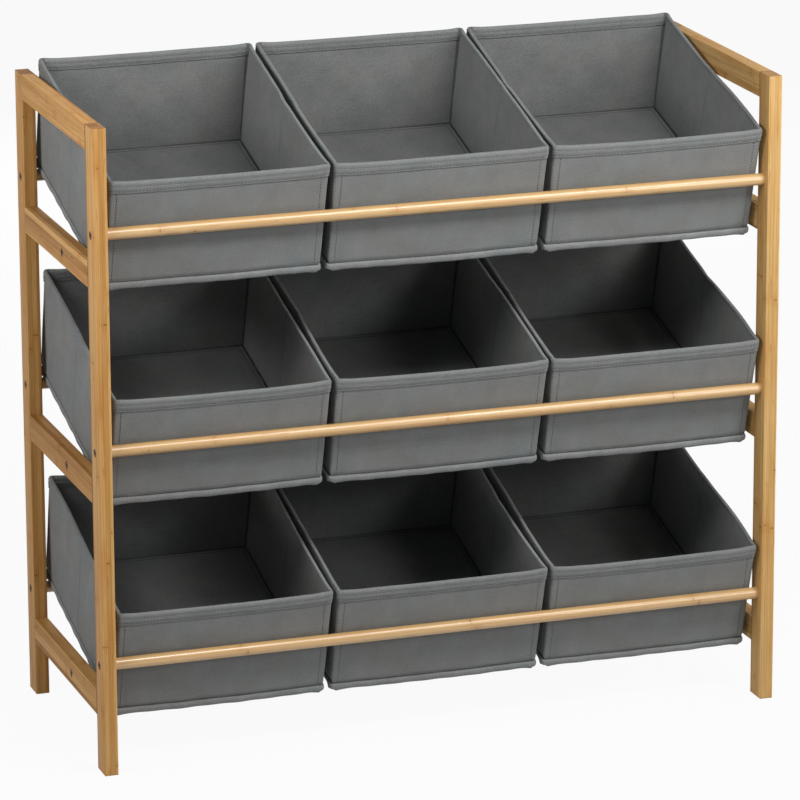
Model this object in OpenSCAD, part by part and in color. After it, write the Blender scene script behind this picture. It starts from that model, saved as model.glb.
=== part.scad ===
// Bamboo storage rack with three tiers of tipped fabric baskets
// X runs along the width, Y towards the back and Z up, in millimetres
// The origin is on the floor, at the middle of the footprint

/* [Rack] */
// Overall width over the outer faces of the side frames
frame_w = 710; // [560:5:900]
// Depth over the posts, front to back
frame_d = 288; // [270:2:330]
// Height from the floor to the top of the posts
frame_h = 652; // [630:2:760]
// Height of the lowest side rails' top edge
low_rail_top = 82; // [60:1:100]
// Distance from the posts' top down to the top edge of the highest tier's side rails
top_space = 136; // [120:1:150]

/* [Bamboo bars] */
// Thickness of posts and rails across the rack
bar_t = 14; // [12:0.5:20]
// Depth of a post, seen from the side
post_d = 26; // [20:1:34]
// Height of a side rail
rail_h = 26; // [20:1:34]
// Rounding of the sanded edges
edge_r = 1; // [0.4:0.1:2]

/* [Rods] */
// Diameter of the round rods
rod_d = 12; // [9:0.5:16]
// Height of the front and rear rods' axis over the rails' top edge
rod_rise = 29; // [22:1:36]
// Distance from the rack's middle forward to the middle rods' axis
mid_rod_forward = 24; // [0:1:50]

/* [Screws] */
// Diameter of a screw's head
screw_head_d = 7; // [6:0.2:9]
// Thickness of a screw's head
screw_head_h = 3; // [2:0.2:4]
// Diameter of a screw's shank
screw_d = 4; // [3:0.2:5]
// Length of a screw under its head
screw_len = 40; // [30:1:60]
// Width across the corners of a screw's hexagon socket
socket_d = 3.6; // [2.5:0.1:5]
// Depth of a screw's hexagon socket
socket_h = 2; // [1:0.1:2]
// Depth of a head under the bar's outer face
screw_sink = 0.4; // [0.1:0.1:1]
// Free space round a screw's head and shank
screw_room = 0.2; // [0.1:0.05:0.5]

/* [Dowels] */
// Diameter of the pins that join the rails to the posts
dowel_d = 6; // [5:0.5:8]
// Length of a pin, half of it in the post
dowel_len = 24; // [16:1:30]
// Distance between the two pins of a joint
dowel_pitch = 12; // [10:0.5:12]
// Free space round a pin and at its ends
dowel_room = 0.1; // [0.05:0.05:0.3]

/* [Baskets] */
// Depth of a basket's lower edge, front to back
basket_d = 264; // [230:1:280]
// Height of a basket's walls
basket_h = 117; // [90:1:125]
// Free space between two neighbouring baskets' rims
basket_gap = 4.8; // [4:0.2:12]
// Free space between the outer baskets' rims and the side frames
side_gap = 4; // [2:0.2:12]
// Outward lean of each wall over its height
wall_lean = 1.5; // [0.5:0.1:4]
// Thickness of a wall, two cloths with a card between
wall_t = 2.6; // [2.2:0.1:4]
// Height of the folded hem round the rim
hem_h = 11; // [6:0.5:16]
// Extra thickness of the hem on each side of the wall
hem_t = 0.5; // [0.2:0.1:1]
// Height of the bound seam under the basket's floor
foot_h = 5.5; // [3:0.5:9]
// Extra thickness of the bound seam outside the wall
foot_t = 0.4; // [0.2:0.1:0.6]
// Depth by which the soft bound seam gives way over the rods
seam_sink = 3.2; // [0:0.1:4]
// Thickness of the cloth floor
floor_t = 1.6; // [1:0.1:3]
// Free space between a basket and the rods that carry it
rest_gap = 0.3; // [0.2:0.1:1]

/* [Cards and base boards] */
// Thickness of a stiffening card in a wall
card_t = 1.2; // [0.8:0.1:1.6]
// Distance of the cards from a basket's corners
card_inset = 8; // [5:0.5:20]
// Space between the two cards of a side wall, where it folds
fold_gap = 5; // [3:0.5:10]
// Free space round a card in its pocket
card_room = 0.1; // [0.05:0.05:0.2]
// Thickness of the loose base board
base_t = 3.2; // [2:0.1:5]
// Free space round the base board
base_room = 1; // [0.5:0.1:3]

/* [Hidden] */
$fn = 48;
cut = 1;
TIERS = ["top", "middle", "bottom"];
SIDES = ["left", "right"];
ENDS = ["front", "back"];
COLUMNS = ["left", "centre", "right"];
RODS = ["front", "under", "rear"];
bamboo = [0.80, 0.62, 0.40];
steel = [0.30, 0.30, 0.32];
cloth = [0.46, 0.47, 0.46];
board = [0.40, 0.41, 0.40];
card = [0.72, 0.66, 0.55];

// Places on the rack, with Y counted from the middle of its depth
inner_w = frame_w - 2 * bar_t;
tier_rise = (frame_h - top_space - low_rail_top) / 2;
post_y = (frame_d - post_d) / 2;
rail_len = frame_d - 2 * post_d;
tier_top = [for (i = [2, 1, 0]) low_rail_top + i * tier_rise];
rail_tops = concat(tier_top, [frame_h]);
rod_y = [-post_y, -mid_rod_forward, post_y];
rod_z = [rod_rise, -rail_h / 2, rod_rise];

// The rods under and behind a basket set its tilt, and the front rod stops it
tilt = atan2(rod_z[2] - rod_z[1], rod_y[2] - rod_y[1]);
function along(y, z) = y * cos(tilt) + z * sin(tilt);
function above(y, z) = z * cos(tilt) - y * sin(tilt);
basket_low = above(rod_y[1], rod_z[1]) + rod_d / 2 + rest_gap - seam_sink;
stop_h = above(rod_y[0], rod_z[0]) - basket_low;
basket_front = along(rod_y[0], rod_z[0]) + rod_d / 2 + rest_gap + wall_lean * stop_h / basket_h;

// The baskets reach further back than the posts, and the origin is halfway
// between the foremost and the rearmost point of the whole
rim_w = (inner_w - 2 * basket_gap - 2 * side_gap) / len(COLUMNS);
basket_pitch = rim_w + basket_gap;
basket_w = rim_w - 2 * hem_t;
seam_back = (basket_front + basket_d + foot_t) * cos(tilt) - basket_low * sin(tilt);
rack_back = max(frame_d / 2, seam_back);
rack_y = (frame_d / 2 - rack_back) / 2;
floor_z = foot_h + floor_t;
skin = (wall_t - card_t) / 2;

// A bar's outline across its length, with rounded corners
module bar_outline(w, d) {
    square([w - 2 * edge_r, d], center = true);
    square([w, d - 2 * edge_r], center = true);
    for (x = [-1, 1], y = [-1, 1])
        translate([x * (w / 2 - edge_r), y * (d / 2 - edge_r)]) circle(r = edge_r);
}

// A bar that stands on z = 0, sanded round along its length and at its ends
module eased_bar(w, d, h) {
    intersection() {
        linear_extrude(h) bar_outline(w, d);
        translate([0, 0, h / 2]) rotate([90, 0, 0]) linear_extrude(d, center = true) bar_outline(w, h);
        translate([0, 0, h / 2]) rotate([90, 0, 90]) linear_extrude(w, center = true) bar_outline(d, h);
    }
}

// Puts a child that is made for the left frame on the frame that it is for
module on_side(s) {
    translate([0, rack_y, 0]) mirror([s == "right" ? 1 : 0, 0, 0]) children();
}

// A screw's stepped hole through a bar of the left frame, axis along X
module screw_hole(y, z) {
    translate([-frame_w / 2, y, z]) rotate([0, 90, 0]) {
        translate([0, 0, -cut])
            cylinder(d = screw_head_d + 2 * screw_room, h = cut + screw_sink + screw_head_h);
        translate([0, 0, -cut]) cylinder(d = screw_d + 2 * screw_room, h = bar_t + 2 * cut);
    }
}

module dowel_pair(y, z, room) {
    for (side = [-1, 1])
        translate([-frame_w / 2 + bar_t / 2, y, z + side * dowel_pitch / 2])
            rotate([90, 0, 0])
                cylinder(d = dowel_d + 2 * room, h = dowel_len + 2 * room, center = true);
}

// Both ends of every rail of the left frame
module rail_dowels(room) {
    for (top = rail_tops, y = [-rail_len / 2, rail_len / 2])
        dowel_pair(y, top - rail_h / 2, room);
}

module post(end) {
    y = end == "front" ? -post_y : post_y;
    color(bamboo) difference() {
        translate([-(frame_w - bar_t) / 2, y, 0]) eased_bar(bar_t, post_d, frame_h);
        for (top = tier_top) screw_hole(y, top + rod_rise);
        rail_dowels(dowel_room);
    }
}

// A rail between the front and back posts
module rail(top) {
    translate([-(frame_w - bar_t) / 2, 0, top - rail_h / 2])
        rotate([90, 0, 0]) linear_extrude(rail_len, center = true) bar_outline(bar_t, rail_h);
}

module top_rail() {
    color(bamboo) difference() {
        rail(frame_h);
        rail_dowels(dowel_room);
    }
}

// A tier's side rail, with the hole for the middle rod's screw
module side_rail(top) {
    color(bamboo) difference() {
        rail(top);
        rail_dowels(dowel_room);
        screw_hole(rod_y[1], top + rod_z[1]);
    }
}

// A rod between the side frames, bored at both ends for its screws
module rod(y, z) {
    bore = screw_len - (bar_t - screw_sink - screw_head_h) + screw_room;
    color(bamboo) translate([0, rack_y + y, z]) rotate([0, 90, 0]) difference() {
        cylinder(d = rod_d, h = inner_w, center = true);
        for (turn = [0, 180]) rotate([turn, 0, 0]) translate([0, 0, inner_w / 2 - bore])
            cylinder(d = screw_d + screw_room, h = bore + cut);
    }
}

// A furniture screw with a hexagon socket, its head sunk in the outer face
module screw() {
    difference() {
        union() {
            cylinder(d = screw_head_d, h = screw_head_h);
            cylinder(d = screw_d, h = screw_head_h + screw_len);
        }
        translate([0, 0, -cut]) cylinder(d = socket_d, h = cut + socket_h, $fn = 6);
    }
}

// The nine screws of a side frame
module screws() {
    color(steel) for (top = tier_top, i = [0:2])
        translate([-frame_w / 2 + screw_sink, rod_y[i], top + rod_z[i]]) rotate([0, 90, 0]) screw();
}

module dowels() {
    color(bamboo) rail_dowels(0);
}

// Puts a basket's piece, made upright with its lower front edge at the origin,
// on the rods of its tier and column
module in_place(top, column) {
    translate([column * basket_pitch, rack_y, top]) rotate([tilt, 0, 0])
        translate([0, basket_front, basket_low]) children();
}

// A basket's outer form between two heights, moved outwards by grow
module form(low, high, grow) {
    function lean(z) = wall_lean * z / basket_h + grow;
    function half(z) = basket_w / 2 - wall_lean + lean(z);
    intersection() {
        rotate([90, 0, 0]) linear_extrude(4 * basket_d, center = true)
            polygon([[-half(low), low], [half(low), low], [half(high), high], [-half(high), high]]);
        rotate([90, 0, 90]) linear_extrude(4 * basket_w, center = true)
            polygon([[-lean(low), low], [basket_d + lean(low), low],
                     [basket_d + lean(high), high], [-lean(high), high]]);
    }
}

// The cards in the walls: one in front, one behind, and two in each side wall,
// which folds between them
module wall_cards(room) {
    low = floor_z;
    high = basket_h - hem_h;
    gap = 2 * (card_inset - room);
    difference() {
        form(low - room, high + room, room - skin);
        form(low - cut, high + cut, -skin - card_t - room);
        for (x = [-1, 1], y = [0, basket_d])
            translate([x * basket_w / 2, y, basket_h / 2]) cube([gap, gap, 2 * basket_h], center = true);
        translate([0, basket_d / 2, basket_h / 2])
            cube([2 * basket_w, fold_gap - 2 * room, 2 * basket_h], center = true);
    }
}

// The sewn cover: walls with closed card pockets, hem, cloth floor and the
// bound seam that stands out below it and gives way where it lies on the rods
module basket_cover() {
    rest = [for (i = [1, 2]) [along(rod_y[i], rod_z[i]) - basket_front, above(rod_y[i], rod_z[i]) - basket_low]];
    color(cloth) difference() {
        union() {
            form(0, basket_h, 0);
            form(basket_h - hem_h, basket_h, hem_t);
            form(0, foot_h, foot_t);
        }
        form(floor_z, basket_h - hem_h, -wall_t);
        form(basket_h - hem_h - cut, basket_h + cut, -wall_t - hem_t);
        form(-cut, foot_h, -wall_t);
        wall_cards(card_room);
        for (at = rest) translate([0, at.x, at.y]) rotate([0, 90, 0])
            cylinder(d = rod_d + 2 * rest_gap, h = basket_w + 2 * cut, center = true);
    }
}

module cards() {
    color(card) wall_cards(0);
}

module base_board() {
    color(board) form(floor_z, floor_z + base_t, -wall_t - base_room);
}

for (s = SIDES, e = ENDS)
    on_side(s) post(e);
for (s = SIDES)
    on_side(s) top_rail();
for (s = SIDES, t = [0:2])
    on_side(s) side_rail(tier_top[t]);
for (t = [0:2], r = [0:2])
    rod(rod_y[r], tier_top[t] + rod_z[r]);
for (s = SIDES)
    on_side(s) screws();
for (s = SIDES)
    on_side(s) dowels();
for (t = [0:2], c = [0:2])
    in_place(tier_top[t], c - 1) basket_cover();
for (t = [0:2], c = [0:2])
    in_place(tier_top[t], c - 1) cards();
for (t = [0:2], c = [0:2])
    in_place(tier_top[t], c - 1) base_board();
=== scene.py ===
import math
import random

import bmesh
import bpy
from mathutils import Matrix, Vector, noise


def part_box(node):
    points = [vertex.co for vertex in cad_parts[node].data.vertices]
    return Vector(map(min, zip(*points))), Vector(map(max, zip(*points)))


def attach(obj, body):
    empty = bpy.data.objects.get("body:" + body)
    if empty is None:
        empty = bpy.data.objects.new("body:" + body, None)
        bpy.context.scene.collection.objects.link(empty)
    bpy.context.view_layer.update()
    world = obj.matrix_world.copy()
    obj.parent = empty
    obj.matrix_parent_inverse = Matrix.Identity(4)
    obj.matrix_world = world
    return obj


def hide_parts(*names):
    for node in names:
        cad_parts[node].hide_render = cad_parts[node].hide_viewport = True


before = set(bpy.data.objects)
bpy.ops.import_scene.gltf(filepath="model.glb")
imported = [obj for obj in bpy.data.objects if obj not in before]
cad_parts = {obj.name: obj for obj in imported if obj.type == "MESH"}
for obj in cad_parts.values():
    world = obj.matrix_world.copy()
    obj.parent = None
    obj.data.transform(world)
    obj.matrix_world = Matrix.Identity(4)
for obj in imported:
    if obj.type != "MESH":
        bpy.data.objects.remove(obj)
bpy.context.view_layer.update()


# Side frames: posts and rails of laminated bamboo, glued up from split strips,
# planed flush, sanded and clear varnished. Each strip keeps its own tone, fine
# fibres along the grain, and a dark line across it where the cane had a node.
sides = ("left", "right")
tiers = ("top", "middle", "bottom")
rods = ("front", "under", "rear")
cane_node_spacing = 0.24
screw_hole_radius = 0.0037


def add_node(tree, kind, settings=None, **inputs):
    """Adds a shader node. An input called n3 is its fourth socket, and the others go by name."""
    made = tree.nodes.new("ShaderNode" + kind)
    for key, value in (settings or {}).items():
        setattr(made, key, value)
    for key, value in inputs.items():
        numbered = key[0] == "n" and key[1:].isdigit()
        socket = made.inputs[int(key[1:]) if numbered else key]
        if isinstance(value, bpy.types.NodeSocket):
            tree.links.new(value, socket)
        else:
            socket.default_value = value
    return made


def calculate(tree, what, first, second=0.0, third=0.0, clamp=False):
    return add_node(tree, "Math", {"operation": what, "use_clamp": clamp},
                    n0=first, n1=second, n2=third).outputs[0]


def off_middle(tree, steps):
    """How far a value is from the middle of its step, from 0 to a half."""
    part = calculate(tree, "FRACT", steps)
    return calculate(tree, "ABSOLUTE", calculate(tree, "SUBTRACT", part, 0.5))


def fade(tree, value, span, ends=(1.0, 0.0), curve="LINEAR"):
    """Goes from the first end to the second while the value crosses its span."""
    return add_node(tree, "MapRange", {"interpolation_type": curve}, n0=value,
                    n1=span[0], n2=span[1], n3=ends[0], n4=ends[1]).outputs[0]


def ramp(tree, factor, places, colours):
    made = add_node(tree, "ValToRGB", n0=factor)
    bar = made.color_ramp
    while len(bar.elements) < len(places):
        bar.elements.new(0.5)
    for element, place, colour in zip(bar.elements, places, colours):
        element.position = place
        element.color = (*colour, 1)
    return made.outputs[0]


def stained(tree, colour, shade, factor, amount=1.0):
    """Multiplies a colour by a shade, which is three numbers or another colour of the tree."""
    if not isinstance(shade, bpy.types.NodeSocket):
        shade = (*shade, 1)
    return add_node(tree, "Mix", {"data_type": "RGBA", "blend_type": "MULTIPLY"},
                    n0=calculate(tree, "MULTIPLY", factor, amount, clamp=True),
                    n6=colour, n7=shade).outputs[2]


def new_material(name, roughness):
    material = bpy.data.materials.new(name)
    material.use_nodes = True
    tree = material.node_tree
    shader = tree.nodes["Principled BSDF"]
    shader.inputs["Roughness"].default_value = roughness
    return material, tree, shader


def extreme(tree, what, values):
    """The greatest or smallest of several values, with what as MAXIMUM or MINIMUM."""
    while len(values) > 1:
        values = [calculate(tree, what, values[0], values[1])] + values[2:]
    return values[0]


def depth_in(tree, coordinate, spans):
    """How deep a point lies inside the one of several spans of a coordinate that it is in."""
    depths = []
    for low, high in spans:
        off = calculate(tree, "SUBTRACT", coordinate, (low + high) / 2)
        off = calculate(tree, "ABSOLUTE", off)
        depths.append(calculate(tree, "SUBTRACT", (high - low) / 2, off))
    return extreme(tree, "MAXIMUM", depths)


def bamboo(name, grain, strip, shift, tones, shine, gloss, bars=(), butted=0.0):
    """Laminated bamboo, its grain along X, Y or Z, in strips of the given width and thickness.

    The bars are the nodes that are cut from it, with a painted highlight along their arrises, and
    butted is how dark their ends are, which show end grain or are glued in a joint. A rod has
    none, and fainter streaks.
    """
    material, tree, shader = new_material(name, shine)
    split = add_node(tree, "SeparateXYZ", n0=add_node(tree, "TexCoord").outputs["Object"])
    order = {"X": (0, 1, 2), "Y": (1, 0, 2), "Z": (2, 0, 1)}[grain]
    along, across, depth = (split.outputs[i] for i in order)
    # The strips: which one, and how near its glue lines
    columns = calculate(tree, "DIVIDE", calculate(tree, "ADD", across, shift[0]), strip[0])
    layers = calculate(tree, "DIVIDE", calculate(tree, "ADD", depth, shift[1]), strip[1])
    which = add_node(tree, "CombineXYZ", n0=calculate(tree, "FLOOR", columns),
                     n1=calculate(tree, "FLOOR", layers), n2=0.37).outputs[0]
    lot = add_node(tree, "TexWhiteNoise", {"noise_dimensions": "3D"}, n0=which).outputs["Value"]
    off = calculate(tree, "MAXIMUM", off_middle(tree, columns), off_middle(tree, layers))
    glue = fade(tree, off, (0.46, 0.5), (0.0, 1.0), "SMOOTHSTEP")
    # Each strip has its own stretch of every pattern, which is drawn out along the grain
    grain_line = calculate(tree, "ADD", along, calculate(tree, "MULTIPLY", lot, 7.3))

    def drawn_out(lengthways, crossways):
        scaled = [calculate(tree, "MULTIPLY", part, scale) for part, scale in (
            (grain_line, lengthways), (across, crossways), (depth, crossways))]
        return add_node(tree, "CombineXYZ", n0=scaled[0], n1=scaled[1], n2=scaled[2]).outputs[0]

    def streaky(lengthways, crossways, detail, roughness):
        return add_node(tree, "TexNoise", Vector=drawn_out(lengthways, crossways), Scale=1.0,
                        Detail=detail, Roughness=roughness).outputs["Fac"]

    fibre = streaky(9.0, 1100.0, 3.0, 0.6)
    band = streaky(4.0, 260.0, 2.0, 0.5)
    cloud = streaky(11.0, 40.0, 2.0, 0.5)
    fleck = fade(tree, streaky(46.0, 620.0, 1.0, 0.4), (0.665, 0.76), (0.0, 1.0))
    # Nodes of the cane: an uneven dark line across a strip, browner on both sides of it
    wave = calculate(tree, "MULTIPLY", calculate(tree, "SUBTRACT", fibre, 0.5), 0.0026)
    steps = calculate(tree, "DIVIDE", calculate(tree, "ADD", grain_line, wave), cane_node_spacing)
    off = off_middle(tree, steps)
    mark = calculate(tree, "MULTIPLY", fade(tree, off, (0.0, 0.0055), curve="SMOOTHERSTEP"),
                     fade(tree, band, (0.44, 0.62), (0.0, 1.0)))
    halo = fade(tree, off, (0.0, 0.05), curve="SMOOTHSTEP")
    # Cat's eyes: a few dark spots drawn out along the grain, where the cane had a bud
    eye = add_node(tree, "TexVoronoi", Vector=drawn_out(22.0, 150.0), Scale=1.0)
    chosen = add_node(tree, "SeparateXYZ", n0=eye.outputs["Color"]).outputs[0]
    spot = fade(tree, eye.outputs["Distance"], (0.03, 0.18), curve="SMOOTHSTEP")
    spot = calculate(tree, "MULTIPLY", spot, calculate(tree, "GREATER_THAN", chosen, 0.86))
    # Colour: the strip's tone, then bands, fibres, nodes and glue lines over it
    streaks = 1.0 if bars else 0.5
    spread = 0.72 * streaks
    tone = calculate(tree, "ADD", calculate(tree, "MULTIPLY", lot, spread),
                     calculate(tree, "MULTIPLY", band, 0.44))
    tone = calculate(tree, "ADD", tone, 0.36 - spread / 2)
    if bars:
        # Painted light: the right frame's bars are painted paler than the left one's, standing in
        # for the stronger light on them
        painted_right_light = fade(tree, split.outputs[0], (-0.1, 0.1), (0.0, 1.0))
        tone = calculate(tree, "ADD", tone, calculate(tree, "MULTIPLY_ADD", painted_right_light, 0.25, -0.05))
    colour = ramp(tree, tone, (0.18, 0.56, 0.94), tones)
    for factor, amount, shade in (
            (fade(tree, fibre, (0.40, 0.68), (0.0, 1.0)), 0.85 * streaks, (0.79, 0.64, 0.44)),
            (fade(tree, cloud, (0.45, 0.72), (0.0, 1.0)), 0.72 * streaks, (0.85, 0.70, 0.53)),
            (halo, 0.40, (0.84, 0.68, 0.48)),
            (fleck, 0.55, (0.62, 0.44, 0.26)),
            (mark, 0.85, (0.36, 0.20, 0.10)),
            (spot, 0.80 * streaks, (0.44, 0.26, 0.13)),
            (glue, 0.70 * streaks ** 2, (0.62, 0.44, 0.27))):
        colour = stained(tree, colour, shade, factor, amount)
    if bars:
        # Painted light: the right frame's bars are also tinted lighter and yellower
        colour = stained(tree, colour, (1.06, 1.16, 1.27), painted_right_light)
        boxes = [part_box(bar) for bar in bars]
        inner = []
        for i in order:
            spans = {(round(low[i], 5), round(high[i], 5)) for low, high in boxes}
            inner.append(depth_in(tree, split.outputs[i], sorted(spans)))
        # Painted highlight: the bars' arrises are made lighter, as where their edges catch the
        # light
        painted_arris_highlight = fade(tree, calculate(tree, "MAXIMUM", inner[1], inner[2]), (0.0004, 0.0013),
                     (calculate(tree, "MULTIPLY", band, 0.9), 0.0))
        colour = stained(tree, colour, (1.30, 1.36, 1.50), painted_arris_highlight)
        joint = fade(tree, inner[0], (0.0002, 0.0008), (butted, 0.0))
        colour = stained(tree, colour, (0.30, 0.19, 0.11), joint)
        # Painted shade round the screw holes: a dark ring where their chamfered rims fall in shade
        aside = add_node(tree, "CombineXYZ", n1=split.outputs[1], n2=split.outputs[2]).outputs[0]
        reach = []
        for low, high in [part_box(f"rod_{rod}_{tier}") for rod in rods for tier in tiers]:
            hole = (0, (low.y + high.y) / 2, (low.z + high.z) / 2)
            reach.append(add_node(tree, "VectorMath", {"operation": "DISTANCE"},
                                  n0=aside, n1=hole).outputs["Value"])
        painted_hole_shade = fade(tree, extreme(tree, "MINIMUM", reach),
                   (screw_hole_radius, screw_hole_radius + 0.0013), (0.85, 0.0))
        colour = stained(tree, colour, (0.22, 0.14, 0.09), painted_hole_shade)
    tree.links.new(colour, shader.inputs["Base Color"])
    rough = fade(tree, fibre, (0.3, 0.7), (shine - 0.06, shine + 0.10))
    tree.links.new(rough, shader.inputs["Roughness"])
    height = calculate(tree, "ADD", calculate(tree, "MULTIPLY", fibre, 0.5),
                       calculate(tree, "MULTIPLY", calculate(tree, "ADD", mark, glue), -0.6))
    bump = add_node(tree, "Bump", Strength=0.3, Distance=0.0002, Height=height)
    tree.links.new(bump.outputs[0], shader.inputs["Normal"])
    shader.inputs["Specular IOR Level"].default_value = gloss
    return material


def finish_node(name, material):
    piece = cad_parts[name]
    piece.data.materials.clear()
    piece.data.materials.append(material)


bar_tones = [(0.36, 0.183, 0.055), (0.51, 0.282, 0.095), (0.64, 0.385, 0.150)]
posts = [f"post_{end}_{side}" for end in ("front", "back") for side in sides]
rails = [f"{rail}_{side}" for rail in ("top_rail", *(f"side_rail_{tier}" for tier in tiers))
         for side in sides]
post_wood = bamboo("bamboo post", "Z", (0.0052, 0.0135), (0.0009, 0.0021), bar_tones,
                   0.48, 0.08, posts, 0.5)
rail_wood = bamboo("bamboo rail", "Y", (0.0070, 0.0088), (0.0, 0.0), bar_tones,
                   0.50, 0.07, rails, 0.5)
for post in posts:
    finish_node(post, post_wood)
for rail in rails + [f"dowels_{side}" for side in sides]:
    finish_node(rail, rail_wood)


# Rods: round bamboo, turned from laminated blanks and varnished, paler and glossier
# than the bars. They are screwed between the side frames, three in each tier.
rod_tones = [(0.450, 0.252, 0.092), (0.576, 0.364, 0.153), (0.685, 0.462, 0.235)]
rod_wood = bamboo("bamboo rod", "X", (0.0060, 0.0060), (0.0017, 0.0023), rod_tones, 0.28, 0.78)
for tier in tiers:
    for rod in rods:
        finish_node(f"rod_{rod}_{tier}", rod_wood)


# Screws: dark zinc-plated furniture screws with hexagon sockets. Their heads sit
# just under the outer faces of the side frames, nine on each side.
def speckled(name, roughness, scale, detail, mixing, dark, light, span=(0.3, 0.7)):
    """A material in fine specks from dark to light, and the value that they come from."""
    material, tree, shader = new_material(name, roughness)
    place = add_node(tree, "TexCoord").outputs["Object"]
    specks = add_node(tree, "TexNoise", Vector=place, Scale=scale, Detail=detail,
                      Roughness=mixing).outputs["Fac"]
    tree.links.new(ramp(tree, specks, span, (dark, light)), shader.inputs["Base Color"])
    return material, tree, shader, specks


screw_steel, tree, shader, plating = speckled(
    "screw steel", 0.36, 900.0, 3.0, 0.6, (0.05, 0.042, 0.033), (0.16, 0.14, 0.118))
shader.inputs["Metallic"].default_value = 1.0
tree.links.new(fade(tree, plating, (0.0, 1.0), (0.28, 0.46)), shader.inputs["Roughness"])
for side in sides:
    finish_node(f"screws_{side}", screw_steel)


# Basket covers: grey non-woven cloth, cut in panels and sewn round stiff cards.
# The walls lean out slightly and bow between their corners, each basket in its
# own way, and a crease runs down each side wall where it folds between its cards.
half_width = 0.108733
depth = 0.264
wall_height = 0.117
wall_lean = 0.0015
wall_thickness = 0.0026
corner_round = 0.0016
fold_place = 0.1395
rest_gap = 0.0003
seam_sink = 0.0032
seam_level = 0.0078
wall_foot = 0.0105
straights = (2 * (half_width - corner_round), depth - 2 * corner_round) * 2
corner_arc = math.pi / 2 * corner_round
girth = sum(straights) + 4 * corner_arc
bond_spacing = 0.0027
pinch_width = (0.0003, 0.0011)
# The colour of the painted shade in the inner corners, the creases and the sewn grooves
painted_shade_colour = (0.15, 0.15, 0.16)
# How the walls are dented all over, tucked over the lower seam, creased and puckered at the
# folds, and raised at the rim's corners
dent_scale, small_dent, broad_dent = 24, 0.0004, 0.0006
edge_ripple = 0.0007
tuck_width, tuck_height, tuck_slant = 0.0045, 0.0022, 1.5
fold_dent, fold_width = 0.00045, 0.0011
pucker_width, pucker_drop = 0.012, 0.4
corner_lift, corner_width = 0.0011, 0.009
# The steps between rows of points beside the corners, the folds and the rods
corner_steps = (0.0012, 0.0030)
fold_step, rod_step, least_step = 0.0008, 0.0015, 0.0006


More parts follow.
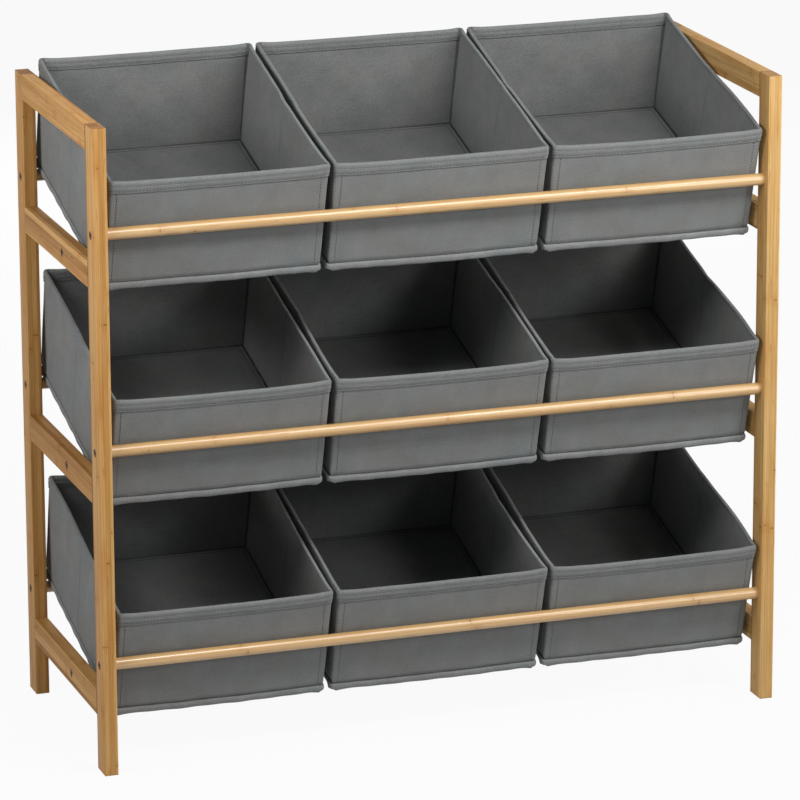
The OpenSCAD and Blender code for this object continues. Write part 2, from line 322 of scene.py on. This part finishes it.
def cloth(name, dark, light, flat=False, border=None):
    """Non-woven grey cloth, bonded in a close diamond grid of points.

    Flat cloth lies instead of standing, and border is how far inside the basket's outline it is
    pinched by a sewn line, along which a line of painted shade runs.
    """
    material, tree, shader = new_material(name, 0.9)
    place = add_node(tree, "Attribute", {"attribute_name": "cut"}).outputs["Vector"]
    u, v, w = add_node(tree, "SeparateXYZ", n0=place).outputs

    def cloudy(scale, detail, roughness, at=place):
        return add_node(tree, "TexNoise", Vector=at, Scale=scale, Detail=detail,
                        Roughness=roughness).outputs["Fac"]

    def within_outline(inset):
        """How far a point is inside lines at an inset from the sides, and from front and back."""
        beside = calculate(tree, "SUBTRACT", half_width - inset, calculate(tree, "ABSOLUTE", u))
        off = calculate(tree, "ABSOLUTE", calculate(tree, "SUBTRACT", v, depth / 2))
        return beside, calculate(tree, "SUBTRACT", depth / 2 - inset, off)

    # Bonding points: slanting rows of them, which cross and are 1.9 mm apart
    along = u if flat else calculate(tree, "ADD", u, v)
    upward = v if flat else w
    waver = calculate(tree, "MULTIPLY", cloudy(240, 2.0, 0.5), 0.0007)
    along, upward = (calculate(tree, "MULTIPLY", calculate(tree, "ADD", way, waver),
                               2 * math.pi / bond_spacing) for way in (along, upward))
    rising = calculate(tree, "SINE", calculate(tree, "ADD", along, upward))
    falling = calculate(tree, "SINE", calculate(tree, "SUBTRACT", along, upward))
    grid = calculate(tree, "MULTIPLY", calculate(tree, "ADD", rising, falling), 0.5)
    # Loose fibres between them, slubs, and uneven thickness over the width of a hand
    fibre = cloudy(1100, 3.0, 0.7)
    stretched = add_node(tree, "VectorMath", {"operation": "MULTIPLY"}, n0=place,
                         n1=(90, 90, 620)).outputs[0]
    slub = fade(tree, cloudy(1.0, 2.0, 0.5, stretched), (0.60, 0.74), (0.0, 1.0))
    cloud = cloudy(34, 4.0, 0.6)
    mixed = calculate(tree, "MULTIPLY", grid, 0.19)
    for part, middle, much in ((fibre, 0.5, 1.1), (cloud, 0.5, 0.42), (slub, 0.0, -0.10)):
        centred = calculate(tree, "SUBTRACT", part, middle)
        mixed = calculate(tree, "ADD", mixed, calculate(tree, "MULTIPLY", centred, much))
    mixed = calculate(tree, "ADD", mixed, 0.5)
    between = tuple((a + b) / 2 for a, b in zip(dark, light))
    colour = ramp(tree, mixed, (0.1, 0.5, 0.9), (dark, between, light))
    # Large faint patches, some greener and some browner
    hue = fade(tree, cloudy(19, 2.0, 0.5), (0.38, 0.62), (0.0, 1.0))
    tint = ramp(tree, hue, (0.0, 1.0), ((1.02, 0.995, 0.985), (0.965, 1.0, 1.01)))
    colour = stained(tree, colour, tint, 1.0)
    if not flat:
        # Painted shade in the four inner corners and along the inside foot of the walls, where
        # they meet the floor
        beside, before = within_outline(wall_thickness)
        corner_way = add_node(tree, "CombineXYZ", n0=beside, n1=before).outputs[0]
        reach = add_node(tree, "VectorMath", {"operation": "LENGTH"},
                         n0=corner_way).outputs["Value"]
        within = calculate(tree, "GREATER_THAN", calculate(tree, "MINIMUM", beside, before),
                           -wall_thickness / 2)
        foot = fade(tree, w, (0.0104, 0.0122), (0.60, 0.0))
        painted_corner_shade = calculate(tree, "MAXIMUM", fade(tree, reach, (0.0005, 0.0018), (0.62, 0.0)),
                         calculate(tree, "MULTIPLY", foot, within))
        # Painted shade along the side walls' creases, which wanders a little
        off = calculate(tree, "SUBTRACT", calculate(tree, "MULTIPLY_ADD", cloud, 0.003, v),
                        fold_place + 0.0015)
        painted_crease_shade = fade(tree, calculate(tree, "ABSOLUTE", off), pinch_width,
                      (calculate(tree, "MULTIPLY", cloud, 0.60), 0.0))
        colour = stained(tree, colour, painted_shade_colour, calculate(tree, "MAXIMUM", painted_corner_shade, painted_crease_shade))
    if border:
        # Painted shade along the groove of the sewn border
        off = calculate(tree, "ABSOLUTE", calculate(tree, "MINIMUM", *within_outline(border)))
        colour = stained(tree, colour, painted_shade_colour, fade(tree, off, pinch_width, (0.55, 0.0)))
    tree.links.new(colour, shader.inputs["Base Color"])
    height = calculate(tree, "ADD", calculate(tree, "MULTIPLY", grid, 0.5),
                       calculate(tree, "MULTIPLY", fibre, 0.9))
    bump = add_node(tree, "Bump", Strength=0.5, Distance=0.00016, Height=height)
    folds = add_node(tree, "Bump", Strength=0.35, Distance=0.004, Height=cloudy(26, 2.0, 0.45),
                     Normal=bump.outputs[0])
    tree.links.new(folds.outputs[0], shader.inputs["Normal"])
    shader.inputs["Sheen Weight"].default_value = 0.10
    shader.inputs["Sheen Roughness"].default_value = 0.5
    shader.inputs["Specular IOR Level"].default_value = 0.15
    return material


def on_wall(run):
    """A point on the walls' lower edge, after a run along it from the front left corner.

    With it go the way out there, which wall it is on, and what part of that wall comes before it.
    """
    run %= girth
    corner = Vector((corner_round - half_width, corner_round))
    for wall, length in enumerate(straights):
        turn = wall * math.pi / 2
        ahead = Vector((math.cos(turn), math.sin(turn)))
        out = Vector((math.sin(turn), -math.cos(turn)))
        if run <= length:
            return corner + ahead * run + out * corner_round, out, wall, run / length
        run -= length
        corner += ahead * length
        if run <= corner_arc:
            turn += run / corner_round
            out = Vector((math.sin(turn), -math.cos(turn)))
            return corner + out * corner_round, out, None, 0
        run -= corner_arc


def fold_run(wall):
    """Where a side wall folds, as a run along that wall."""
    return (fold_place if wall == 1 else depth - fold_place) - corner_round


def wall_runs(spacing, basket):
    """Runs at which the cloth gets a row of points: closer at folds, rods and corners."""
    runs, start = [], 0
    for wall, length in enumerate(straights):
        count = round(length / spacing)
        closer = [*corner_steps, *(length - step for step in corner_steps)]
        if wall % 2:
            closer += [fold_run(wall) + fold_step * i for i in range(-4, 5)]
            for rod in basket["rods"]:
                place = (rod[0] if wall == 1 else depth - rod[0]) - corner_round
                closer += [place + rod_step * i for i in range(-4, 5)]
        even = [length * i / count for i in range(count + 1)]
        even = [run for run in even if min(abs(run - other) for other in closer) > least_step]
        runs += [start + run for run in sorted(even + closer)]
        start += length
        runs += [start + corner_arc * i / 4 for i in range(1, 4)]
        start += corner_arc
    return sorted(runs)


def draped(run, out_by, height, basket):
    """Where a point of the sewn cloth comes to lie, in the basket's own directions."""
    foot, out, wall, part = on_wall(run)
    share = min(1, max(0, height / wall_height))
    shift = wall_lean * share + out_by
    at = Vector((foot.x, foot.y, height)) * dent_scale + basket["drift"]
    shift += small_dent * noise.noise(at) + broad_dent * noise.noise(at * 0.4) * share
    lift, corner = 0, 0
    if wall is not None:
        swing = math.sin(math.pi * part)
        bow = sum(much * math.sin((i + 1) * math.pi * part)
                  for i, much in enumerate(basket["bow"][wall]))
        shift += bow * share ** 1.4
        corner = min(part, 1 - part) * straights[wall]
        lift += basket["sag"][wall] * swing * share ** 2
        if wall % 2 == 0:
            # The lower edge droops between its corners, and is tucked beside them
            ripple = edge_ripple * noise.noise(Vector((foot.x * 30, foot.y, 9)) + basket["drift"])
            lift += (basket["droop"] + ripple) * swing * (1 - share) ** 3
            much, place = basket["tucks"][0 if part < 0.5 else 1]
            reach = (corner - place - (height - wall_foot) * tuck_slant) / tuck_width
            shift -= much * math.exp(-reach ** 2 - ((height - wall_foot) / tuck_height) ** 2)
        else:
            # The fold is a crease in both faces, and puckers at the rim
            away = part * straights[1] - fold_run(wall)
            facing = 1 if out_by > -wall_thickness / 2 else -1
            shift -= fold_dent * math.exp(-(away / fold_width) ** 2) * facing
            pucker = math.exp(-(away / pucker_width) ** 2) * share ** 4
            pucker *= basket["pucker"][wall // 2]
            shift += pucker
            lift -= pucker_drop * abs(pucker)
    lift += corner_lift * math.exp(-(corner / corner_width) ** 2) * share ** 4
    height += lift
    # The cloth gives way round the two rods under it, and lies against the one in front
    for along, centre in basket["rods"]:
        reach = basket["rod_room"] ** 2 - (foot.y - along) ** 2
        if reach > 0 and height < seam_level:
            height += max(0, centre + math.sqrt(reach)) * (1 - height / seam_level)
    point = foot + out * shift
    # Inside, the two walls of a corner meet in a mitre
    point.x = min(half_width + shift, max(-half_width - shift, point.x))
    point.y = min(depth + shift, max(-shift, point.y))
    reach = basket["rod_room"] ** 2 - (height - basket["stop"][1]) ** 2
    if wall == 0 and reach > 0:
        point.y = max(point.y, basket["stop"][0] + math.sqrt(reach) - 0.0001)
    return Vector((point.x, point.y, height))


def cloth_piece(name, bm, basket, material):
    """Places a finished cloth mesh on its rods and makes it a piece that rides with its basket."""
    bm.transform(basket["place"])
    for face in bm.faces:
        face.smooth = True
    mesh = bpy.data.meshes.new(name)
    bm.to_mesh(mesh)
    bm.free()
    mesh.materials.append(material)
    piece = bpy.data.objects.new(name, mesh)
    bpy.context.scene.collection.objects.link(piece)
    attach(piece, basket["body"])
    return piece


def sewn_round(name, section, basket, spacing, material, trim):
    """A closed band of cloth: a ring of points round the basket, drawn through the section's."""
    bm = bmesh.new()
    bm.verts.layers.float_vector.new("cut")
    bm.verts.layers.float.new("run")
    cut, run_of = bm.verts.layers.float_vector["cut"], bm.verts.layers.float["run"]
    runs = wall_runs(spacing, basket)
    ring = bmesh.ops.create_circle(bm, segments=len(runs))["verts"]
    for point, run in zip(ring, runs):
        point[run_of] = run

    def put(points, out_by, height):
        for point in points:
            foot, out, wall, part = on_wall(point[run_of])
            beside, level = trim(wall, part, out_by, height)
            point.co = draped(point[run_of], beside, level, basket)
            point[cut] = (foot.x + out.x * beside, foot.y + out.y * beside, level)

    first = edges = list(bm.edges)
    put(ring, *section[0])
    for out_by, height in section[1:]:
        grown = bmesh.ops.extrude_edge_only(bm, edges=edges)["geom"]
        points = {part for part in grown if isinstance(part, bmesh.types.BMVert)}
        edges = [part for part in grown
                 if isinstance(part, bmesh.types.BMEdge) and points.issuperset(part.verts)]
        put(points, out_by, height)
    bmesh.ops.bridge_loops(bm, edges=first + edges)
    bmesh.ops.remove_doubles(bm, verts=bm.verts[:], dist=0.000005)
    bmesh.ops.dissolve_degenerate(bm, edges=bm.edges[:], dist=0.000005)
    bmesh.ops.recalc_face_normals(bm, faces=bm.faces)
    return cloth_piece(name, bm, basket, material)


def rod_axis(rod, tier):
    low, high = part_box(f"rod_{rod}_{tier}")
    return (low + high) / 2, (high.z - low.z) / 2


side_bow = ((-0.0022, 0.0006), (-0.0010, 0.0010), (-0.0005, 0.0005))
baskets = {}
for row, tier in enumerate(tiers):
    stop, rod_radius = rod_axis("front", tier)
    under, rear = rod_axis("under", tier)[0], rod_axis("rear", tier)[0]
    tilt = math.atan2(rear.z - under.z, rear.y - under.y)
    flat = Matrix.Rotation(-tilt, 3, "X")
    low_edge = (flat @ under).z + rod_radius + rest_gap - seam_sink
    lean = wall_lean * ((flat @ stop).z - low_edge) / wall_height
    front_edge = (flat @ stop).y + rod_radius + rest_gap + lean
    own_place = Vector((front_edge, low_edge))
    for column, name in enumerate(("left", "centre", "right")):
        low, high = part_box(f"basket_{tier}_{name}")
        own = random.Random(100 * row + column)

        def draws(*ranges):
            return tuple(own.uniform(least, most) for least, most in ranges)

        baskets[f"{tier}_{name}"] = {
            "body": f"bin_{tier}_{name}",
            "place": Matrix.Translation(((low.x + high.x) / 2, 0, 0))
            @ Matrix.Rotation(tilt, 4, "X") @ Matrix.Translation((0, front_edge, low_edge)),
            "rods": [(flat @ rod).yz - own_place for rod in (under, rear)],
            "stop": (flat @ stop).yz - own_place,
            "rod_room": rod_radius + rest_gap,
            "bow": [draws((-0.0008, 0.0002), (-0.0004, 0.0004)), draws(*side_bow),
                    draws((-0.0012, 0.0010), (-0.0006, 0.0006)), draws(*side_bow)],
            "sag": draws((-0.0019, -0.0009), (-0.0012, 0.0002),
                         (-0.0008, 0.0000), (-0.0012, 0.0002)),
            "droop": own.uniform(-0.0019, -0.0008),
            "pucker": draws((-0.0012, 0.0010), (-0.0012, 0.0010)),
            "drift": Vector(draws((0, 50), (0, 50), (0, 50))),
            "tucks": [draws((0.0002, 0.0012), (0.009, 0.020)) for end in (0, 1)],
        }
# The right baskets bulge towards the post, and in the top tier the middle and right ones lean
# towards each other
for tier in tiers:
    baskets[f"{tier}_right"]["bow"][1] = (0.0006, 0.0017, 0.0008)
baskets["top_centre"]["bow"][1] = (0.0016, 0.0002, 0.0002)
baskets["top_right"]["bow"][3] = (0.0015, -0.0002, 0.0001)

inside = -wall_thickness
side_start, side_blend = 0.004, 0.010
shallower = 0.75
standing = [0.0106, 0.0125, 0.016, 0.022, 0.030, 0.040, 0.050, 0.060, 0.070, 0.080, 0.090,
            0.098, 0.104]
wall_section = ([(-0.0010, 0.0052), (-0.0015, 0.0072), (-0.0010, 0.0086)]
                + [(0, height) for height in standing]
                + [(-0.0001, 0.1100), (-0.0004, 0.1160)]
                + [(inside + 0.0004, 0.1160), (inside + 0.0001, 0.1100)]
                + [(inside, height) for height in reversed(standing)]
                + [(inside + 0.0002, 0.0052)])


def on_side(wall, part):
    """How far a point is on a side wall and away from its corners, from 0 to 1."""
    if wall is None or wall % 2 == 0:
        return 0
    return min(1, max(0, (min(part, 1 - part) * straights[1] - side_start) / side_blend))


def wall_trim(wall, part, out_by, height):
    """The groove over the bound seam is shallow on the side walls."""
    if height < standing[0] and out_by > inside / 2:
        out_by *= 1 - shallower * on_side(wall, part)
    return out_by, height


wall_cloth = cloth("wall cloth", (0.110, 0.113, 0.109), (0.280, 0.286, 0.278))
for name, basket in baskets.items():
    walls = sewn_round(f"walls_{name}", wall_section, basket, 0.0055, wall_cloth, wall_trim)
    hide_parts(f"basket_{name}")


# Rim hems: on the front and rear walls the cloth is folded over the rim, 12 mm deep
# inside and out, and sewn down. The side walls only have a narrow bound edge.
rim_height = 0.1172
hem_stitch = 0.1067
upper_stitch = 0.1127
side_hem_start, side_hem_blend = 0.0008, 0.0026
side_hem_thinner, side_hem_narrower = 0.28, 0.72
hem_half = [(0.0001, 0.1053), (0.0008, 0.1051), (0.0009, 0.1058), (0.0003, hem_stitch),
            (0.0009, 0.1077), (0.0011, 0.1096), (0.0011, 0.1116), (0.0008, upper_stitch),
            (0.0011, 0.1138), (0.0010, 0.1153), (0.0004, 0.1168), (-0.0006, 0.1174)]
hem_section = hem_half + [(inside - out_by, height) for out_by, height in reversed(hem_half)]


def hem_trim(wall, part, out_by, height):
    """The hem narrows to a thin 3 mm edge on the side walls, close beside the corners."""
    if wall is None or wall % 2 == 0:
        return out_by, height
    corner = min(part, 1 - part) * straights[1]
    near = min(1, max(0, (corner - side_hem_start) / side_hem_blend))
    near = near * near * (3 - 2 * near)
    out_by = inside / 2 + (out_by - inside / 2) * (1 - side_hem_thinner * near)
    return out_by, rim_height + (height - rim_height) * (1 - side_hem_narrower * near)


hem_cloth = cloth("hem cloth", (0.112, 0.116, 0.112), (0.284, 0.291, 0.283))
for name, basket in baskets.items():
    sewn_round(f"hem_{name}", hem_section, basket, 0.0040, hem_cloth, hem_trim)


# Bound lower seams: a bias strip folded round the seam between walls and floor. It
# stands out under a deep stitched groove in front and behind, fuller at the corners,
# and lies flat along the sides.
binding_section = [(-0.0010, 0.0068), (0.0002, 0.0069), (0.0010, 0.0060), (0.0013, 0.0044),
                   (0.0012, 0.0022), (0.0006, 0.0005), (-0.0005, 0.0000), (-0.0018, 0.0001),
                   (-0.0026, 0.0010), (-0.0029, 0.0030), (-0.0028, 0.0055), (-0.0020, 0.0068)]


binding_height = 0.007
full_width, round_width = 0.0075, 0.0017
side_flatter = 0.0005
binding_wave, wave_turns = 0.0003, 210


def binding_trim(wall, part, out_by, height):
    """The strip is turned under at the corners: thicker and lower beside them, and rounded off."""
    corner = 0 if wall is None else min(part, 1 - part) * straights[wall]
    fuller = math.exp(-(corner / full_width) ** 2)
    rounded = math.exp(-(corner / round_width) ** 2)
    lower = (1 - height / binding_height) * (0.0012 * fuller - 0.0019 * rounded)
    if out_by > 0:
        out_by += 0.0008 * fuller - 0.0007 * rounded - side_flatter * on_side(wall, part)
        if wall is not None and out_by > 0:
            turn = part * straights[wall] * wave_turns + wall
            out_by += binding_wave * math.sin(turn) * (1 - fuller)
    return out_by, height - lower


binding_cloth = cloth("binding cloth", (0.124, 0.128, 0.125), (0.330, 0.337, 0.330))
for name, basket in baskets.items():
    sewn_round(f"binding_{name}", binding_section, basket, 0.0040, binding_cloth, binding_trim)


# Cloth floors: one sheet under each basket, caught in the bound seam all round.
# It lies on the two rods under the basket, and sags a little between its edges.
floor_inset = 0.0017
floor_top = 0.0071
floor_thickness = 0.0012
floor_sag = 0.0004
floor_cloth = cloth("floor cloth", (0.110, 0.113, 0.109), (0.280, 0.286, 0.278), True)
for name, basket in baskets.items():
    bm = bmesh.new()
    cut = bm.verts.layers.float_vector.new("cut")
    bmesh.ops.create_grid(bm, x_segments=24, y_segments=28, size=0.5)
    bmesh.ops.scale(bm, vec=(2 * (half_width - floor_inset), depth - 2 * floor_inset, 1),
                    verts=bm.verts)
    bmesh.ops.translate(bm, vec=(0, depth / 2, floor_top), verts=bm.verts)
    for point in bm.verts:
        point[cut] = point.co
        point.co.z -= floor_sag * (0.5 + noise.noise(point.co * 30 + basket["drift"]))
    bmesh.ops.recalc_face_normals(bm, faces=bm.faces)
    bmesh.ops.solidify(bm, geom=bm.faces[:], thickness=floor_thickness)
    bmesh.ops.recalc_face_normals(bm, faces=bm.faces)
    cloth_piece(f"floor_{name}", bm, basket, floor_cloth)


# Base boards: stiff boards in a cloth cover, laid loose on the cloth floors. Their
# border is sewn down about 5 mm from the edge, where the cover is pinched.
board_inset = 0.0036
board_border = board_inset + 0.0046
board_thickness = 0.0032
board_middle = 0.0088
board_round = 0.0011
board_warp = 0.0003
# The way in from the edge to the sewn border, down into its groove, up again and further in
border_insets = ((0.0026, 0), (0.0008, -0.0004), (0.0008, 0.0004), (0.004, 0))
# Painted shade: the board cloth is the wall cloth made about a quarter darker, for the shade on
# the floors
board_cloth_painted_darker = cloth("board cloth", (0.082, 0.085, 0.082), (0.212, 0.217, 0.211), True,
                    board_border)
for name, basket in baskets.items():
    bm = bmesh.new()
    cut = bm.verts.layers.float_vector.new("cut")
    bmesh.ops.create_cube(bm, size=1)
    bmesh.ops.scale(bm, vec=(2 * (half_width - board_inset), depth - 2 * board_inset,
                             board_thickness), verts=bm.verts)
    bmesh.ops.translate(bm, vec=(0, depth / 2, board_middle), verts=bm.verts)
    bmesh.ops.bevel(bm, geom=bm.edges[:], offset=board_round, offset_type="OFFSET", segments=3,
                    profile=0.5, affect="EDGES", material=-1)
    top = [face for face in bm.faces if face.normal.z > 0.99]
    for gap, drop in border_insets:
        bmesh.ops.inset_region(bm, faces=top, thickness=gap, depth=drop, use_even_offset=True)
    bmesh.ops.subdivide_edges(bm, edges=top[0].edges[:], cuts=22, use_grid_fill=True)
    for point in bm.verts:
        point[cut] = point.co
        point.co.z += board_warp * noise.noise(point.co * 20 + basket["drift"])
    bmesh.ops.recalc_face_normals(bm, faces=bm.faces)
    board = cloth_piece(f"board_{name}", bm, basket, board_cloth_painted_darker)
    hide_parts(f"base_board_{name}")


# Stiffening cards: grey-brown card in the walls, bowed with the cloth round them.
# One stands in front, one behind and two in each side wall, beside the fold.
card_inset = 0.008
card_foot = 0.0085
card_height = 0.096
card_thickness = 0.0008
fold_gap = 0.005
card_paper = speckled("stiffening card", 0.85, 700.0, 4.0, 0.65, (0.34, 0.28, 0.19),
                      (0.50, 0.43, 0.31))[0]
for name, basket in baskets.items():
    bm = bmesh.new()
    start = 0
    for wall, length in enumerate(straights):
        inset = card_inset - corner_round
        spans = [(inset, length - inset)]
        if wall % 2:
            fold = fold_run(wall)
            spans = [(inset, fold - fold_gap / 2), (fold + fold_gap / 2, length - inset)]
        for begin, end in spans:
            others = set(bm.verts)
            bmesh.ops.create_cube(bm, size=1)
            edges = [edge for edge in bm.edges if edge.verts[0] not in others
                     and abs(edge.verts[0].co.z - edge.verts[1].co.z) < 0.5]
            bmesh.ops.subdivide_edges(bm, edges=edges, cuts=13, use_grid_fill=True)
            for point in set(bm.verts) - others:
                run = start + begin + (point.co.x + 0.5) * (end - begin)
                out_by = -wall_thickness / 2 + point.co.z * card_thickness
                height = card_foot + (point.co.y + 0.5) * card_height
                point.co = draped(run, out_by, height, basket)
        start += length + corner_arc
    bmesh.ops.recalc_face_normals(bm, faces=bm.faces[:])
    cards = cloth_piece(f"cards_in_{name}", bm, basket, card_paper)
    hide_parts(f"cards_{name}")


# Stitches: grey polyester thread in 3.4 mm lockstitch, painted darker than the cloth for the
# shade where it dips into the needle holes, along the hems inside and out, in the groove over
# the bound seam, down the front and rear panels' side seams and round the base board's border.
stitch_length = 0.0034
seam_stitch = 0.0074
panel_seam = 0.0045
panel_seam_foot, panel_seam_head = 0.0095, 0.1046
board_top = 0.0101


def thread_through(bm, path, thick):
    """A thread: a thin tube on a path of points, each with the way out of the cloth and ahead."""
    tube = bmesh.ops.create_grid(bm, x_segments=len(path) - 1, y_segments=5, size=0.5)["verts"]
    for point in tube:
        centre, out, ahead = path[round((point.co.x + 0.5) * (len(path) - 1))]
        turn = (point.co.y + 0.5) * 2 * math.pi
        side = out.cross(ahead).normalized()
        point.co = centre + (out * math.cos(turn) + side * math.sin(turn)) * thick


def stitched(bm, place_at, begin, end, sunk, thick):
    """Sews along a line: the thread lies on the cloth and dips into it at the needle holes."""
    count = round((end - begin) / stitch_length)
    path = []
    for i in range(5 * count + 1):
        point, out, ahead = place_at(begin + (end - begin) * i / (5 * count))
        path.append((point + out * (-sunk if i % 5 < 2 else thick * 0.6), out, ahead))
    thread_through(bm, path, thick)


def out_of_wall(run):
    out = on_wall(run)[1]
    return Vector((out.x, out.y, 0))


# Painted shade: the thread is much darker than the cloth, for the shade at its needle holes
thread_painted_darker = speckled("sewing thread", 0.7, 2500.0, 2.0, 0.5, (0.055, 0.057, 0.059),
                       (0.125, 0.129, 0.132))[0]
for name, basket in baskets.items():
    bm = bmesh.new()

    def sew_along(out_by, height, begin, end, sunk, thick):
        def place_at(run):
            out = out_of_wall(run)
            facing = out if out_by > inside / 2 else -out
            return draped(run, out_by, height, basket), facing, Vector((-out.y, out.x, 0))
        stitched(bm, place_at, begin, end, sunk, thick)

    start = 0
    for wall, length in enumerate(straights):
        end = start + length
        if wall % 2:
            sew_along(-0.0003, seam_stitch, start + 0.006, end - 0.006, 0.0006, 0.00020)
            edge_line = hem_trim(wall, 0.5, 0.0004, hem_stitch)
            sew_along(*edge_line, start + 0.004, end - 0.004, 0.0006, 0.00026)
        else:
            sew_along(-0.0013, seam_stitch, start, end, 0.0006, 0.00034)
            for face, way in ((0, 1), (inside, -1)):
                for out_by, height, thick in ((0.0004, hem_stitch, 0.00034),
                                              (0.0008, upper_stitch, 0.00024)):
                    sew_along(face + way * out_by, height, start + 0.001, end - 0.001,
                              0.0007, thick)
            for edge in (start + panel_seam, end - panel_seam):
                def up_the_seam(height):
                    return draped(edge, 0, height, basket), out_of_wall(edge), Vector((0, 0, 1))
                stitched(bm, up_the_seam, panel_seam_foot, panel_seam_head, 0.0007, 0.00036)
        start += length + corner_arc
    side, end = half_width - board_border, depth / 2 - board_border
    for turn, reach, far in ((0, side, end), (1, end, side)):
        for way in (1, -1):
            ahead = Matrix.Rotation(turn * math.pi / 2, 3, "Z") @ Vector((way, 0, 0))
            middle = Vector((0, depth / 2, board_top)) + ahead.cross(Vector((0, 0, 1))) * far

            def along_the_border(run):
                return middle + ahead * run, Vector((0, 0, 1)), ahead
            stitched(bm, along_the_border, -reach, reach, 0.0006, 0.00044)
    bmesh.ops.remove_doubles(bm, verts=bm.verts[:], dist=0.000002)
    bmesh.ops.recalc_face_normals(bm, faces=bm.faces[:])
    cloth_piece(f"stitches_{name}", bm, basket, thread_painted_darker)


# Floor and background: a plain pale studio floor and a white world. The camera and
# the screws' gloss see both as white paper, and the object's shadow stays on the floor.
floor_reach = 14
paper_share = 0.94


def seen_directly(tree):
    """1 for what the camera sees, also in a mirror or through glass, and 0 for the light."""
    ray = add_node(tree, "LightPath").outputs
    shiny = calculate(tree, "MAXIMUM", ray["Is Glossy Ray"], ray["Is Transmission Ray"])
    return calculate(tree, "MAXIMUM", ray["Is Camera Ray"], shiny)


floor_paper, tree, shader, _ = speckled(
    "studio floor", 0.9, 40.0, 2.0, 0.5, (0.50, 0.50, 0.50), (0.52, 0.52, 0.52), (0.0, 1.0))
glow = add_node(tree, "Emission", Color=(1, 1, 1, 1), Strength=1.0)
white = calculate(tree, "MULTIPLY", seen_directly(tree), paper_share)
paper = add_node(tree, "MixShader", n0=white, n1=shader.outputs[0], n2=glow.outputs[0])
tree.links.new(paper.outputs[0], tree.nodes["Material Output"].inputs["Surface"])
bm = bmesh.new()
bmesh.ops.create_grid(bm, x_segments=2, y_segments=2, size=floor_reach)
mesh = bpy.data.meshes.new("studio floor")
bm.to_mesh(mesh)
bm.free()
mesh.materials.append(floor_paper)
studio_floor = bpy.data.objects.new("studio_floor", mesh)
bpy.context.scene.collection.objects.link(studio_floor)

world = bpy.data.worlds.new("studio white")
world.use_nodes = True
bpy.context.scene.world = world
tree = world.node_tree
seen = seen_directly(tree)
sky = add_node(tree, "Mix", {"data_type": "RGBA"}, n0=seen, n6=(0.78, 0.92, 1.15, 1),
               n7=(1, 1, 1, 1)).outputs[2]
background = tree.nodes["Background"]
tree.links.new(sky, background.inputs["Color"])
tree.links.new(fade(tree, seen, (0.0, 1.0), (0.09, 1.0)), background.inputs["Strength"])


# Lights: two soft boxes in front, above and to the right, weaker ones on the left,
# and large ones on the right side and behind.
def soft_box(name, place, target, size, power):
    light = bpy.data.lights.new(name, "AREA")
    light.shape = "RECTANGLE"
    light.size, light.size_y = size
    light.energy = power
    lamp = bpy.data.objects.new(name, light)
    lamp.location = place
    lamp.rotation_euler = (Vector(target) - Vector(place)).to_track_quat("-Z", "Y").to_euler()
    bpy.context.scene.collection.objects.link(lamp)
    return lamp


soft_box("front top light", (0.32, -1.0, 1.5), (0.04, -0.05, 0.5), (1.0, 0.3), 17)
soft_box("front right light", (1.0, -1.45, 0.95), (0.1, -0.1, 0.5), (0.6, 0.5), 9.7)
soft_box("left top light", (-1.05, -0.38, 1.02), (-0.3, 0, 0.5), (0.5, 0.4), 6.8)
soft_box("low left light", (-1.7, -0.5, 0.16), (-0.36, 0, 0.35), (0.5, 0.25), 2.2)
soft_box("right side light", (2.3, 0.1, 0.7), (0.36, 0, 0.35), (1.0, 0.8), 17)
back_light = soft_box("back light", (0.3, 2.6, 0.95), (0, 0, 0.35), (1.6, 1.2), 32)
back_light.visible_glossy = False


# Camera: the photograph's viewpoint, a little above the rack and to its left, with a
# long lens whose focal length is given in the photograph's own pixels.
picture_width = 800
focal_pixels = 5104.9
camera_data = bpy.data.cameras.new("camera")
camera_data.sensor_width = 36
camera_data.lens = focal_pixels / picture_width * 36
camera_data.clip_end = 100
camera = bpy.data.objects.new("camera", camera_data)
bpy.context.scene.collection.objects.link(camera)
rack_middle = (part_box("post_front_left")[0].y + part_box("post_back_left")[1].y) / 2
look = Vector((0.3093, 0.9113, -0.2718)).normalized()
right = Vector((0.9466, -0.3225, -0.0040))
right = (right - look * right.dot(look)).normalized()
turned = Matrix((right, right.cross(look), -look)).transposed().to_4x4()
camera.matrix_world = Matrix.Translation((-1.5995, rack_middle - 4.7177, 1.7199)) @ turned
bpy.context.scene.camera = camera

bpy.context.scene.view_settings.view_transform = "Standard"
